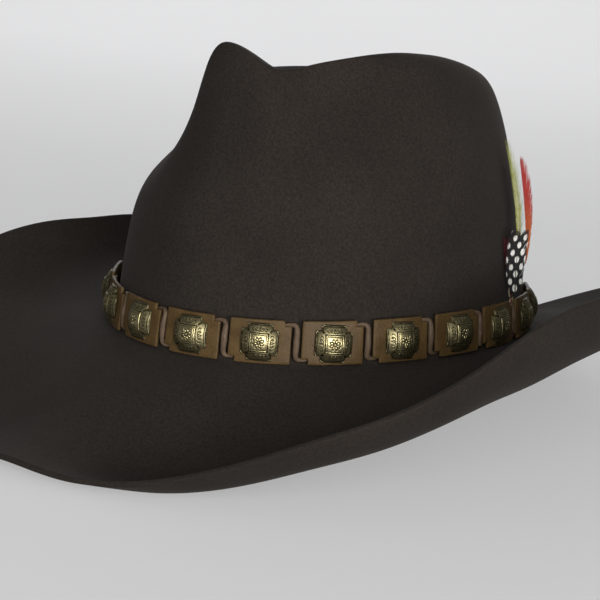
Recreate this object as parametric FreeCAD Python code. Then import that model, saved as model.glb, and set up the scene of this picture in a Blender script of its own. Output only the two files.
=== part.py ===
import FreeCAD, Part
import math
import os

# Felt western hat: pinch-front crown, rolled brim, band of leather links and conchos, feathers.
# Millimetres and degrees. +Z up, the wearer faces -Y, the wearer's left is +X. The origin is the
# centre of the head opening, near the height of the break, where the brim meets the crown.
# Angles run anticlockwise from above: 0 wearer's left, 90 back, 180 wearer's right, -90 front.

Vector = FreeCAD.Vector

# ---- felt body ----
HEAD_A = 104.0          # outer half length of the crown at the break (front-back)
HEAD_B = 89.5           # outer half width of the crown at the break
BREAK_WAVE = 2.0        # the break rises at the sides and falls front and back by this much
BREAK_DROP = 1.6        # mean height of the break below the origin
FELT_T = 2.2            # felt thickness
CREASE_Z = 100.0        # height of the crease floor
N_AROUND = 72           # sections around the hat
ANGLES = [i * 360.0 / N_AROUND for i in range(N_AROUND)]

# Brim edge: angle, reach out from the break, height, slope at the break, slope at the edge.
BRIM_ROWS = [
    (-90, 92, -35.5, -19, 2), (-80, 91, -38.0, -21, 14), (-70, 90, -33.8, -24, 38),
    (-60, 89, -23.6, -27, 54), (-50, 88, -10.8, -27, 62), (-40, 87, 0.4, -25, 68),
    (-30, 84, 15.0, -24, 76), (-20, 78, 30.2, -28, 88), (-10, 72, 37.2, -29, 96),
    (0, 69, 39.4, -18, 96), (10, 71, 39.5, -6, 86), (20, 74, 37.0, 0, 74),
    (30, 80, 34.0, 2, 66), (40, 84, 31.0, 2, 60), (50, 87, 26.0, 2, 55),
    (60, 88, 18.5, 0, 48), (70, 89, 9.8, -3, 40), (80, 90, -1.2, -7, 30),
    (90, 91, -15.0, -11, 18), (100, 90, -29.5, -16, 4), (110, 89, -37.0, -19, 2),
    (120, 88, -32.0, -20, 20), (130, 87, -18.0, -18, 38), (140, 85, -3.0, -14, 50),
    (150, 82, 9.0, -10, 58), (160, 76, 16.4, -6, 62), (170, 71, 20.4, -3, 66),
    (180, 69, 20.8, -2, 68), (190, 72, 21.5, -3, 66), (200, 78, 18.6, -6, 62),
    (210, 84, 12.2, -10, 58), (220, 87, 3.4, -14, 52), (230, 88, -8.6, -18, 46),
    (240, 89, -21.6, -20, 36), (250, 90, -33.0, -20, 22), (260, 91, -38.4, -19, 8)]
# Ridge of the crown: angle, radius, height.
RIDGE_ROWS = [
    (-90, 78, 132.0), (-82, 75, 127.5), (-73, 70, 120.8), (-60, 56, 124.0), (-45, 51, 127.0),
    (-30, 48, 129.0), (-15, 47, 129.8), (0, 48, 129.2), (15, 50, 127.8), (30, 55, 124.8),
    (45, 62, 120.5), (60, 70, 116.0), (75, 76, 112.0), (90, 78, 110.0), (105, 75, 110.5),
    (120, 68, 110.8), (135, 60, 111.5), (150, 54, 111.8), (165, 50, 111.8), (180, 48, 111.6),
    (195, 48, 110.8), (210, 50, 110.0), (225, 54, 109.0), (240, 59, 109.5), (253, 70, 115.0),
    (262, 75, 126.5)]
# Crown wall: shares of its height, then the share of the inward lean reached at each
# on the plain wall, in the two pinch dents and at the front.
WALL_SHARES = [0.0, 0.024, 0.07, 0.16, 0.30, 0.45, 0.60, 0.74, 0.86, 0.94, 0.985, 1.0]
WALL_SIDE = [0.0, 0.006, 0.02, 0.06, 0.13, 0.21, 0.31, 0.43, 0.58, 0.72, 0.87, 1.0]
WALL_PINCH = [0.0, 0.006, 0.02, 0.04, 0.08, 0.13, 0.27, 0.68, 0.90, 0.96, 0.99, 1.0]
WALL_FRONT = [0.0, 0.01, 0.03, 0.06, 0.11, 0.22, 0.62, 1.0, 1.10, 1.08, 1.03, 1.0]
PINCH_ANGLE = 42.0      # pinch dents, either side of the front
PINCH_SPREAD = 24.0
FRONT_SPREAD = 17.0
# Crown top: share of the ridge radius, share of the ridge height above the crease floor.
TOP_STATIONS = [(0.90, 0.95), (0.80, 0.78), (0.68, 0.52), (0.52, 0.28), (0.36, 0.12),
                (0.20, 0.03), (0.08, 0.0)]
# Brim section: a Bezier curve, with these shares for its break and edge handles.
BREAK_HANDLE, EDGE_HANDLE = 0.50, 0.38
BRIM_SHARES = [1.0, 0.96, 0.90, 0.82, 0.72, 0.60, 0.46, 0.32, 0.18, 0.08, 0.03]  # edge to break


def periodic_curve(rows):
    """Periodic Catmull-Rom curve through (degrees, value...) rows."""
    count = len(rows)
    first = rows[0][0]

    def values_at(angle):
        angle = (angle - first) % 360.0 + first
        k = 0
        while k < count - 1 and rows[k + 1][0] <= angle:
            k += 1
        before, start, end, after = [rows[(k + i) % count] for i in (-1, 0, 1, 2)]
        start_angle = start[0]
        end_angle = end[0] + (360.0 if k == count - 1 else 0.0)
        before_angle = before[0] - (360.0 if k == 0 else 0.0)
        after_angle = after[0] + (360.0 if k + 2 >= count else 0.0)
        span = end_angle - start_angle
        u = (angle - start_angle) / span
        values = []
        for c in range(1, len(start)):
            start_slope = (end[c] - before[c]) / (end_angle - before_angle) * span
            end_slope = (after[c] - start[c]) / (after_angle - start_angle) * span
            values.append((2 * u ** 3 - 3 * u ** 2 + 1) * start[c]
                          + (u ** 3 - 2 * u ** 2 + u) * start_slope
                          + (-2 * u ** 3 + 3 * u ** 2) * end[c]
                          + (u ** 3 - u ** 2) * end_slope)
        return values
    return values_at


brim_at = periodic_curve(BRIM_ROWS)
ridge_at = periodic_curve(RIDGE_ROWS)


def polar(radius, angle, z):
    turn = math.radians(angle)
    return Vector(radius * math.cos(turn), radius * math.sin(turn), z)


def break_radius(angle):
    turn = math.radians(angle)
    return 1.0 / math.hypot(math.cos(turn) / HEAD_B, math.sin(turn) / HEAD_A)


def break_z(angle):
    return BREAK_WAVE * math.cos(2 * math.radians(angle)) - BREAK_DROP


def wall_share(shares, x):
    """Straight-line value of a wall list at share x of the wall height."""
    if x <= WALL_SHARES[0]:
        return shares[0]
    for k in range(len(WALL_SHARES) - 1):
        x0, x1 = WALL_SHARES[k:k + 2]
        if x <= x1:
            return shares[k] + (shares[k + 1] - shares[k]) * (x - x0) / (x1 - x0)
    return shares[-1]


def wall_inset(angle, share):
    """How far the crown wall lies inside the break at a share of its height."""
    from_front = abs((angle + 90.0 + 180.0) % 360.0 - 180.0)
    pinch = math.exp(-((from_front - PINCH_ANGLE) / PINCH_SPREAD) ** 2)
    front = math.exp(-(from_front / FRONT_SPREAD) ** 2)
    lean = wall_share(WALL_SIDE, share)
    lean = lean * (1 - pinch) + pinch * wall_share(WALL_PINCH, share)
    lean = lean * (1 - front) + front * wall_share(WALL_FRONT, share)
    return (break_radius(angle) - ridge_at(angle)[0]) * lean


def wall_radius(angle, z):
    """Outer radius of the crown wall at a height."""
    z0 = break_z(angle)
    share = max(0.0, (z - z0) / (ridge_at(angle)[1] - z0))
    return break_radius(angle) - wall_inset(angle, share)


def brim_profile(angle):
    """(radius, height) points of the upper brim surface, from the edge towards the break."""
    reach, edge_z, break_slope, edge_slope = brim_at(angle)
    r0, z0 = break_radius(angle), break_z(angle)
    rise = edge_z - z0
    start = BREAK_HANDLE * reach
    end = EDGE_HANDLE * math.hypot(reach, rise)
    break_slope, edge_slope = math.radians(break_slope), math.radians(edge_slope)
    poles = [(0.0, 0.0), (start, start * math.tan(break_slope)),
             (reach - end * math.cos(edge_slope), rise - end * math.sin(edge_slope)),
             (reach, rise)]
    points = []
    for u in BRIM_SHARES:
        weights = [(1 - u) ** 3, 3 * u * (1 - u) ** 2, 3 * u * u * (1 - u), u ** 3]
        points.append((r0 + sum(w * p[0] for w, p in zip(weights, poles)),
                       z0 + sum(w * p[1] for w, p in zip(weights, poles))))
    return points


def profile(angle):
    """(radius, height) points of the outer surface, from the brim edge to the crown centre."""
    points = brim_profile(angle)
    r0, z0 = break_radius(angle), break_z(angle)
    ridge_r, ridge_z = ridge_at(angle)
    for share in WALL_SHARES:
        points.append((r0 - wall_inset(angle, share), z0 + (ridge_z - z0) * share))
    for r_share, z_share in TOP_STATIONS:
        points.append((ridge_r * r_share, CREASE_Z + (ridge_z - CREASE_Z) * z_share))
    points.append((0.0, CREASE_Z))
    return points


def shifted(points, depth):
    """The same profile moved by depth to its inner side, which is the underside of the brim."""
    moved = []
    last = len(points) - 1
    for i, (r, z) in enumerate(points[:-1]):
        r0, z0 = points[max(i - 1, 0)]
        r1, z1 = points[i + 1]
        length = math.hypot(r1 - r0, z1 - z0)
        # The lower limit keeps the points apart and off the axis.
        moved.append((max(r - (z1 - z0) / length * depth, 0.05 * (last - i)),
                      z + (r1 - r0) / length * depth))
    moved.append((0.0, points[-1][1] - depth))
    return moved


def felt_loops(depth):
    columns = [[polar(r, angle, z) for r, z in shifted(profile(angle), depth)]
               for angle in ANGLES]
    return [list(loop) for loop in zip(*columns)]


# ---- surfaces and solids ----
def skin(loops, degree):
    """B-spline face with these loops as poles: cubic around, of the given degree across."""
    around = len(loops[0])
    poles = [[loop[i] for loop in loops] for i in range(around)]
    knots = list(range(len(loops) - degree + 1))
    mults = [degree + 1] + [1] * (len(knots) - 2) + [degree + 1]
    surface = Part.BSplineSurface()
    surface.buildFromPolesMultsKnots(poles, [1] * (around + 1), mults,
                                     list(range(around + 1)), knots, True, False, 3, degree)
    return surface.toShape()


def closed(faces):
    shell = Part.makeShell(faces)
    shell.sewShape()
    solid = Part.makeSolid(shell)
    if solid.Volume < 0:
        solid.reverse()
    return solid


def sheet_solid(upper, lower):
    """Solid between two skins that close at the centre, joined along their first loops."""
    return closed([skin(upper, 3), skin(lower, 3), skin([upper[0], lower[0]], 1)])


def ring_solid(section):
    """section(angle) gives closed (r, z) points; each section edge becomes one smooth band."""
    columns = [[polar(r, angle, z) for r, z in section(angle)] for angle in ANGLES]
    loops = [list(loop) for loop in zip(*columns)]
    return closed([skin([a, b], 1) for a, b in zip(loops, loops[1:] + loops[:1])])


TUBE_SIDES = 8
TUBE_STEPS = 3           # sections from one path point to the next


def tube(points, radii):
    """Cord through the points, as one smooth skin with flat ends; one radius per point."""
    at = [0.0]
    for p, q in zip(points[:-1], points[1:]):
        at.append(at[-1] + (q - p).Length)
    centre = Part.BSplineCurve()
    centre.interpolate(Points=points, Parameters=at)
    # A cubic skin runs inside its poles, so the poles are pushed out to keep the radius.
    spread = 3.0 / (2.0 + math.cos(math.radians(360 / TUBE_SIDES)))
    loops = []
    for k in range(TUBE_STEPS * (len(points) - 1) + 1):
        j, step = divmod(k, TUBE_STEPS)
        f = step / TUBE_STEPS
        if j == len(points) - 1:
            j, f = j - 1, 1.0
        u = at[j] * (1 - f) + at[j + 1] * f
        radius = (radii[j] * (1 - f) + radii[j + 1] * f) * spread
        tangent = centre.tangent(u)[0]
        side = tangent.cross(Vector(0, 0, 1))
        side.normalize()
        up = side.cross(tangent)
        turns = [math.radians(360 / TUBE_SIDES * i) for i in range(TUBE_SIDES)]
        loops.append([centre.value(u) + side * (radius * math.cos(turn))
                      + up * (radius * math.sin(turn)) for turn in turns])
    start, end = [[centre.value(u)] * TUBE_SIDES for u in (at[0], at[-1])]
    return closed([skin(loops, 3), skin([loops[0], start], 1), skin([loops[-1], end], 1)])


def save(shape, node):
    shape.exportStep("parts/" + node + ".step")


# ---- inside: sweatband, reed, stitches, bow, lining ----
SWEAT_T = 1.0
SWEAT_H = 44.0
SWEAT_GAP = 0.9          # felt to sweatband
SWEAT_INNER = FELT_T + SWEAT_GAP + SWEAT_T   # outer felt face to inner sweatband face
REED_R = 0.9
STITCH_COUNT = 72
STITCH_LENGTH = 3.4
STITCH_T = 0.5
LINING_T = 0.4
LINING_TOP = 88.0        # above the break
TIP_Z = 90.0             # rim of the lining tip
TIP_DOME = 1.2
TIP_SHARES = (1.0, 0.97, 0.85, 0.6, 0.3, 0.1, 0.0)   # loops, as shares of the tip radius


def strip(low, high, gap, thick, steps, ease=0.0):
    """Band inside the crown wall; ease averages its radius with the wall that far up and down."""
    def section(angle):
        outer, inner = [], []
        for k in range(steps + 1):
            z = break_z(angle) + low + (high - low) * k / steps
            lean = (wall_radius(angle, z - 1.5) - wall_radius(angle, z + 1.5)) / 3.0
            r = wall_radius(angle, z)
            if ease:
                r = min(r, (wall_radius(angle, z - ease) + 4 * r
                            + wall_radius(angle, z + ease)) / 6.0)
            r -= FELT_T * math.hypot(1.0, lean) + gap
            outer.append((r, z))
            inner.append((r - thick, z))
        return outer + inner[::-1]
    return section


def reed_section(angle):
    """Round cord under the lower edge of the sweatband."""
    z = break_z(angle) - 0.6
    r = break_radius(angle) - FELT_T - SWEAT_GAP - SWEAT_T / 2 - 0.4
    return [(r + REED_R * math.cos(math.radians(a)), z + REED_R * math.sin(math.radians(a)))
            for a in range(0, 360, 45)]


def sweatband_stitches():
    stitches = []
    pitch = 360.0 / STITCH_COUNT
    for k in range(STITCH_COUNT):
        angle = (k + 0.5) * pitch
        turn = math.radians(angle)
        z = break_z(angle) + 4.5
        stitch = Part.makeBox(STITCH_T, STITCH_LENGTH, STITCH_T,
                              Vector(-STITCH_T / 2, -STITCH_LENGTH / 2, -STITCH_T / 2))
        normal = math.atan2(HEAD_B ** 2 * math.sin(turn), HEAD_A ** 2 * math.cos(turn))
        stitch.rotate(Vector(0, 0, 0), Vector(0, 0, 1), math.degrees(normal))
        stitch.translate(polar(wall_radius(angle, z) - SWEAT_INNER - 0.75, angle, z))
        stitches.append(stitch)
    return Part.makeCompound(stitches)


def rear_bow():
    """Small bow at the back, inside the sweatband: a block with an oval loop on each side."""
    def oval(half_x, half_y):
        edge = Part.Ellipse(Vector(0, 0, 0), half_x, half_y).toShape()
        return Part.Face(Part.Wire(edge)).extrude(Vector(0, 0, 4.0))

    bow_y = wall_radius(90, 8) - SWEAT_INNER - 1.0
    bow = Part.makeBox(3.6, 2.0, 4.4, Vector(-1.8, bow_y - 2.2, 6.0))
    for side in (-1, 1):
        loop = oval(6.5, 1.7).cut(oval(5.8, 1.0))
        loop.translate(Vector(side * 7.6, bow_y - 2.4, 6.2))
        bow = bow.fuse(loop)
    return bow


def tip_loops(lift):
    return [[polar((wall_radius(angle, TIP_Z + 1.0) - FELT_T - 3.0) * share, angle,
                   TIP_Z + lift + TIP_DOME * (1 - share * share)) for angle in ANGLES]
            for share in TIP_SHARES]


# ---- places on the crown wall, by distance along the break from the wearer's left ----
WALL_LEAN = 0.10         # inward lean of the crown wall behind the band
ARC_STEPS = 1440
ARC_STEP = 360.0 / ARC_STEPS
arc = [0.0]              # distance along the break at each step
for k in range(ARC_STEPS):
    start, end = [polar(break_radius(a), a, 0) for a in (k * ARC_STEP, (k + 1) * ARC_STEP)]
    arc.append(arc[-1] + (end - start).Length)


def angle_at(along):
    along = along % arc[-1]
    low, high = 0, ARC_STEPS
    while high - low > 1:
        middle = (low + high) // 2
        if arc[middle] <= along:
            low = middle
        else:
            high = middle
    return (low + (along - arc[low]) / (arc[high] - arc[low])) * ARC_STEP


def frame_at(along, off, rise):
    """Point off the felt and above the break; tangent (anticlockwise), outward and up."""
    angle = angle_at(along)
    turn = math.radians(angle)
    normal = Vector(math.cos(turn) / HEAD_B ** 2, math.sin(turn) / HEAD_A ** 2, 0)
    normal = normal * (1.0 / math.hypot(normal.x, normal.y))
    tangent = Vector(-normal.y, normal.x, 0)
    up = Vector(-WALL_LEAN * normal.x, -WALL_LEAN * normal.y, 1.0)
    up.normalize()
    out = tangent.cross(up)
    origin = polar(break_radius(angle), angle, break_z(angle))
    return origin + out * off + up * rise, tangent, out, up


def place(shape, along, off, rise):
    """Copy of the shape put on the wall; local x runs along the band, y outwards, z up."""
    o, t, n, u = frame_at(along, off, rise)
    placed = shape.copy()
    placed.transformShape(FreeCAD.Matrix(t.x, n.x, u.x, o.x, t.y, n.y, u.y, o.y,
                                         t.z, n.z, u.z, o.z, 0, 0, 0, 1))
    return placed


# ---- hat band: leather links and conchos ----
LINK_W = 27.0
LINK_H = 19.0
LINK_T = 1.6
LINK_PITCH = 30.667      # along the break
LINK_COUNT = 19          # the space left over at the back holds the tie
FIRST_LINK = -412.869    # just past the back; the links run on from here round the front
LINK_BACK = 2.6          # felt to back of link
LINK_FOOT = 0.9          # break to bottom edge of link
NOTCH_W = 3.0
NOTCH_H = 2.5
HALF_LINK = LINK_W / 2
LINK_PLACES = [FIRST_LINK + LINK_PITCH * i for i in range(LINK_COUNT)]

CONCHO_W = 16.5
CONCHO_NOTCH = 2.6       # corner notches
CONCHO_DOME = 3.4        # dome height over DOME_R
DOME_R = 11.0
CONCHO_SQ = 8.2          # raised square
PETALS = 8


def leather_link():
    """Plate notched at two opposite corners, with a hole in the middle."""
    left, right = -HALF_LINK, HALF_LINK
    outline = [(left, NOTCH_H), (left + NOTCH_W, NOTCH_H), (left + NOTCH_W, 0), (right, 0),
               (right, LINK_H - NOTCH_H), (right - NOTCH_W, LINK_H - NOTCH_H),
               (right - NOTCH_W, LINK_H), (left, LINK_H), (left, NOTCH_H)]
    polygon = Part.makePolygon([Vector(x, 0, z) for x, z in outline])
    plate = Part.Face(polygon).extrude(Vector(0, LINK_T, 0))
    hole = Part.makeCylinder(1.4, LINK_T + 2, Vector(0, -1, LINK_H / 2), Vector(0, 1, 0))
    return plate.cut(hole)


def concho_shape():
    """Domed plate with a raised, sunk-centred square, a rosette and a rear post."""
    def disc(radius, height, x, y, z):
        return Part.makeCylinder(radius, height, Vector(x, y, z), Vector(0, 1, 0))

    half = CONCHO_W / 2
    arm = CONCHO_W - 2 * CONCHO_NOTCH
    inset = -half + CONCHO_NOTCH
    plate = Part.makeBox(CONCHO_W, 6.0, arm, Vector(-half, 0, inset)).fuse(
        Part.makeBox(arm, 6.0, CONCHO_W, Vector(inset, 0, -half))).fuse(
        disc(half + 0.1, 6.0, 0, 0, 0)).removeSplitter()
    ball_r = (DOME_R ** 2 + CONCHO_DOME ** 2) / (2 * CONCHO_DOME)
    concho = plate.common(Part.makeSphere(ball_r, Vector(0, CONCHO_DOME - ball_r + 0.6, 0)))
    corner = -CONCHO_SQ / 2
    concho = concho.fuse(Part.makeBox(CONCHO_SQ, 1.4, CONCHO_SQ,
                                      Vector(corner, CONCHO_DOME - 0.6, corner)))
    rim = 0.6
    sunk = CONCHO_SQ - 2 * rim
    concho = concho.cut(Part.makeBox(sunk, 2, sunk,
                                     Vector(corner + rim, CONCHO_DOME + 0.55, corner + rim)))
    rose_y = CONCHO_DOME + 0.5
    rose = disc(0.85, 0.45, 0, rose_y, 0)
    for k in range(PETALS):
        turn = math.radians(360 / PETALS * k)
        rose = rose.fuse(disc(0.62, 0.4, 1.75 * math.cos(turn), rose_y, 1.75 * math.sin(turn)))
    return concho.fuse(rose).fuse(disc(1.0, LINK_T, 0, -LINK_T + 0.1, 0))


# ---- lace: thong behind the links, knot and two tails at the back ----
THONG_R = 0.7            # behind a link
THONG_GAP_R = 1.0        # in the gap between links
THONG_OFF = 1.75         # felt to lace centre behind a link
TAIL_R = 0.9
KNOT_R = 3.0
KNOT_ARM_R = 1.2
# Lace past one link: along from its middle, off the felt, above its bottom edge, lace radius.
LACE_ROWS = [
    (-HALF_LINK - 1.05, THONG_OFF + 1.2, 1.8, THONG_GAP_R),
    (-HALF_LINK + 2.5, THONG_OFF, 2.2, THONG_R),
    (-6, THONG_OFF, 5.8, THONG_R),
    (0, THONG_OFF, LINK_H / 2, THONG_R),
    (6, THONG_OFF, LINK_H - 5.8, THONG_R),
    (HALF_LINK - 2.5, THONG_OFF, LINK_H - 2.2, THONG_R),
    (HALF_LINK + 1.05, THONG_OFF + 1.2, LINK_H - 1.8, THONG_GAP_R)]
LACE_GAP = (LINK_PITCH / 2, THONG_OFF + 1.7, LINK_H / 2, THONG_GAP_R)
LACE_START = (-HALF_LINK - 7, THONG_OFF + 1.4, LINK_H / 2, THONG_GAP_R)
LACE_END = (HALF_LINK + 7,) + LACE_START[1:]


def lace_path():
    points, radii = [], []
    for i, link_place in enumerate(LINK_PLACES):
        rows = [LACE_START] if i == 0 else []
        rows = rows + LACE_ROWS + [LACE_GAP if i < LINK_COUNT - 1 else LACE_END]
        for along, off, rise, radius in rows:
            points.append(frame_at(link_place + along, off, LINK_FOOT + rise)[0])
            radii.append(radius)
    return points, radii


def lace_knot(centre, ends):
    knot = Part.makeSphere(KNOT_R, centre)
    for end in ends:
        direction = end - centre
        length = direction.Length - 1.2
        direction.normalize()
        knot = knot.fuse(Part.makeCylinder(KNOT_ARM_R, length, centre, direction))
    return knot


def brim_top(x, y):
    """Height of the upper brim surface."""
    r = math.hypot(x, y)
    points = brim_profile(math.degrees(math.atan2(y, x)))
    for (r1, z1), (r0, z0) in zip(points[:-1], points[1:]):
        if r0 <= r <= r1:
            return z0 + (z1 - z0) * (r - r0) / (r1 - r0)
    return points[-1][1]


def lace_tail(knot, side):
    """Tail lying back over the brim; side is 1 for the wearer's left, -1 for the right."""
    points = [knot + Vector(side * 4.4, 2.2, -1.4)]
    for from_knot, y in ((6.5, 117.0), (8.6, 130.0), (10.2, 144.0), (11.0, 158.0)):
        x = knot.x + side * from_knot
        points.append(Vector(x, y, brim_top(x, y) + TAIL_R + 0.75))
    return tube(points, [TAIL_R] * len(points))


# ---- feathers, wearer's left, tucked behind the band ----
FEATHER_PLACE = 34.0
FEATHER_TURN = 52.0      # vane width, turned from along the band towards straight out
VANE_T = 0.4
QUILL_R = 0.34
QUILL_OFF = 0.5          # felt to shaft centre behind the links
QUILL_LOW, QUILL_TOP = 7.0, 19.5
# Name, foot height, length, width, foot along and out, tip along and out, quill along.
FEATHERS = [
    ("guinea", 20.5, 31, 11.5, -1.5, 4.6, -3.6, 7.6, 0.6),
    ("red", 36, 49.5, 4.6, 2.3, 8.6, 1.0, 6.9, 3.8),
    ("green", 38, 54, 5.2, 0.6, 5.4, -0.8, 0.2, 5.4),
    ("teal", 44, 40, 6.5, 1.8, 5.6, 1.4, 2.7, 7.0),
    ("maroon", 25, 21, 4.8, 0.2, 1.4, -0.6, 1.1, 2.2)]


def feather(foot, length, width, foot_x, foot_y, tip_x, tip_y, quill_x):
    """Flat vane leaning from foot to tip, with a shaft bent down behind the links."""
    left, right = [], []
    for k in range(9):
        u = k / 8.0
        half = width * 0.5 * (math.sin(math.pi * min(1.0, u * 0.92 + 0.06)) ** 0.7)
        if k == 8:
            half = 0.25
        left.append(Vector(-half, 0, foot + length * u))
        right.append(Vector(half, 0, foot + length * u))
    left_edge, right_edge = Part.BSplineCurve(), Part.BSplineCurve()
    left_edge.interpolate(left)
    right_edge.interpolate(right)
    outline = Part.Wire([left_edge.toShape(), Part.LineSegment(left[-1], right[-1]).toShape(),
                         right_edge.toShape(), Part.LineSegment(right[0], left[0]).toShape()])
    vane = Part.Face(outline).extrude(Vector(0, VANE_T, 0))
    vane.translate(Vector(0, -VANE_T / 2, 0))
    vane.rotate(Vector(0, 0, 0), Vector(0, 0, 1), FEATHER_TURN)
    lean_x, lean_y = (tip_x - foot_x) / length, (tip_y - foot_y) / length
    vane = vane.transformGeometry(FreeCAD.Matrix(
        1, 0, lean_x, foot_x - lean_x * foot, 0, 1, lean_y, foot_y - lean_y * foot,
        0, 0, 1, 0, 0, 0, 0, 1))
    quill_y = QUILL_OFF - quill_x ** 2 / 190.0   # the wall curves away from the flat frame
    low = Vector(quill_x, quill_y, QUILL_LOW)
    bend = Vector(quill_x, quill_y, QUILL_TOP)
    top = Vector(foot_x + lean_x * 4.0, foot_y + lean_y * 4.0, foot + 4.0)
    shaft = Part.makeCylinder(QUILL_R, QUILL_TOP - QUILL_LOW, low, Vector(0, 0, 1)).fuse(
        Part.makeSphere(QUILL_R, bend)).fuse(
        Part.makeCylinder(QUILL_R, (top - bend).Length, bend, top - bend))
    return place(vane.fuse(shaft), FEATHER_PLACE, 0.0, 0.0)


# ---- build ----
os.makedirs("parts", exist_ok=True)
save(sheet_solid(felt_loops(0.0), felt_loops(FELT_T)), "felt_body")

save(ring_solid(strip(1.2, SWEAT_H, SWEAT_GAP, SWEAT_T, 4)), "sweatband")
save(ring_solid(reed_section), "sweatband_reed")
save(sweatband_stitches(), "sweatband_stitches")
save(rear_bow(), "rear_bow")
save(ring_solid(strip(SWEAT_H + 1.2, LINING_TOP, 1.7, LINING_T, 5, ease=17.0)), "lining_side")
save(sheet_solid(tip_loops(LINING_T), tip_loops(0.0)), "lining_tip")

link, concho = leather_link(), concho_shape()
for i, along in enumerate(LINK_PLACES, 1):
    save(place(link, along, LINK_BACK, LINK_FOOT), "link_%02d" % i)
    save(place(concho, along + 0.3, LINK_BACK + LINK_T + 0.1, LINK_FOOT + LINK_H / 2),
         "concho_%02d" % i)

path, path_radii = lace_path()
save(tube(path, path_radii), "lace_thong")
knot_centre = (path[-1] + path[0]) * 0.5 + Vector(0, 2.6, 0)
save(lace_knot(knot_centre, (path[-1], path[0])), "lace_knot")
save(lace_tail(knot_centre, 1), "lace_tail_left")
save(lace_tail(knot_centre, -1), "lace_tail_right")

for name, *sizes in FEATHERS:
    save(feather(*sizes), "feather_" + name)
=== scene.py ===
"""Wide-brimmed felt hat with a creased crown, a band of laced leather links and five feathers.

The wearer faces -Y, +X is the wearer's left and +Z is up. The origin is the middle of the
head opening, about level with the break, the line where the crown wall meets the brim.
Angles are degrees seen from above: 0 at +X, 90 at the back, -90 at the front. Places on the
band are arc lengths along the break from angle 0. Shapes are in millimetres until MM.
"""

import math
import random

import bpy
import numpy as np
from mathutils import Matrix, Vector


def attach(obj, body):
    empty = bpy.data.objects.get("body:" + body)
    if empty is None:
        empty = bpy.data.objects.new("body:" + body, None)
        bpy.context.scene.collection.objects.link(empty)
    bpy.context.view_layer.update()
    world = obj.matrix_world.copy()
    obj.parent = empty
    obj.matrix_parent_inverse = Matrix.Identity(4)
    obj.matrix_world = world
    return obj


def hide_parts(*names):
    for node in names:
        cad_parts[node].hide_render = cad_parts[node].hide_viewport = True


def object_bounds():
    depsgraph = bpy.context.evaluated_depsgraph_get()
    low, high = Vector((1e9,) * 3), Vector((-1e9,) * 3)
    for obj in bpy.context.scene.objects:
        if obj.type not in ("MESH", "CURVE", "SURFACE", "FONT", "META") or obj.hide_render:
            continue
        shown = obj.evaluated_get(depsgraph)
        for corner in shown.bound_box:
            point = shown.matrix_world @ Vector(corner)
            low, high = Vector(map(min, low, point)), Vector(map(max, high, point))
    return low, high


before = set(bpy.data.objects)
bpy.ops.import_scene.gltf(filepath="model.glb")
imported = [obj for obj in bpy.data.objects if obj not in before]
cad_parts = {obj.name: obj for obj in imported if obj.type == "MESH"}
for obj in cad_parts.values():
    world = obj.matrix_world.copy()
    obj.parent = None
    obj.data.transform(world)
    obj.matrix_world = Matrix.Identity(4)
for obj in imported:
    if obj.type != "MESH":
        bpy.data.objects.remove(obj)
START_BOX = [[float(v) for v in c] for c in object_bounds()]
MM = 0.001

# ------------------------------------------------------------------ driving sizes
HEAD_HALF_Y, HEAD_HALF_X = 104.0, 89.5
BREAK_WAVE, BREAK_DROP = 2.0, 1.6       # the break rises at the sides, dips front and back
FELT_THICK = 2.2
CREASE_Z = 100.0                        # floor of the crown's crease
FORM_COLUMNS = 72                       # control points around the felt

LINK_WIDTH, LINK_HEIGHT, LINK_THICK = 27.0, 19.0, 1.6
LINK_PITCH, LINK_COUNT = 30.667, 19
LINK_OUT, LINK_FOOT = 2.6, 0.9          # link's back and lower edge, from the break
EIGHTH_LINK_AT = -198.2
WALL_LEAN = 0.10                        # inward lean of the band per unit of height

LACE_OUT = 1.75                         # centre of the lace behind a link
FEATHER_AT, FEATHER_TURN = 34.0, 52.0   # place on the band; degrees the vanes turn forward
QUILL_OUT = 0.5

# Brim edge: degrees, reach out from the break, height, slope at the break, slope at the edge.
BRIM_ROWS = [
    (-90, 92, -35.5, -19, 2), (-80, 91, -38.0, -21, 14), (-70, 90, -33.8, -24, 38),
    (-60, 89, -23.6, -27, 54), (-50, 88, -10.8, -27, 62), (-40, 87, 0.4, -25, 68),
    (-30, 84, 15.0, -24, 76), (-20, 78, 30.2, -28, 88), (-10, 72, 37.2, -29, 96),
    (0, 69, 39.4, -18, 96), (10, 71, 39.5, -6, 86), (20, 74, 37.0, 0, 74),
    (30, 80, 34.0, 2, 66), (40, 84, 31.0, 2, 60), (50, 87, 26.0, 2, 55),
    (60, 88, 18.5, 0, 48), (70, 89, 9.8, -3, 40), (80, 90, -1.2, -7, 30),
    (90, 91, -15.0, -11, 18), (100, 90, -29.5, -16, 4), (110, 89, -37.0, -19, 2),
    (120, 88, -32.0, -20, 20), (130, 87, -18.0, -18, 38), (140, 85, -3.0, -14, 50),
    (150, 82, 9.0, -10, 58), (160, 76, 16.4, -6, 62), (170, 71, 20.4, -3, 66),
    (180, 69, 20.8, -2, 68), (190, 72, 21.5, -3, 66), (200, 78, 18.6, -6, 62),
    (210, 84, 12.2, -10, 58), (220, 87, 3.4, -14, 52), (230, 88, -8.6, -18, 46),
    (240, 89, -21.6, -20, 36), (250, 90, -33.0, -20, 22), (260, 91, -38.4, -19, 8)]
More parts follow.
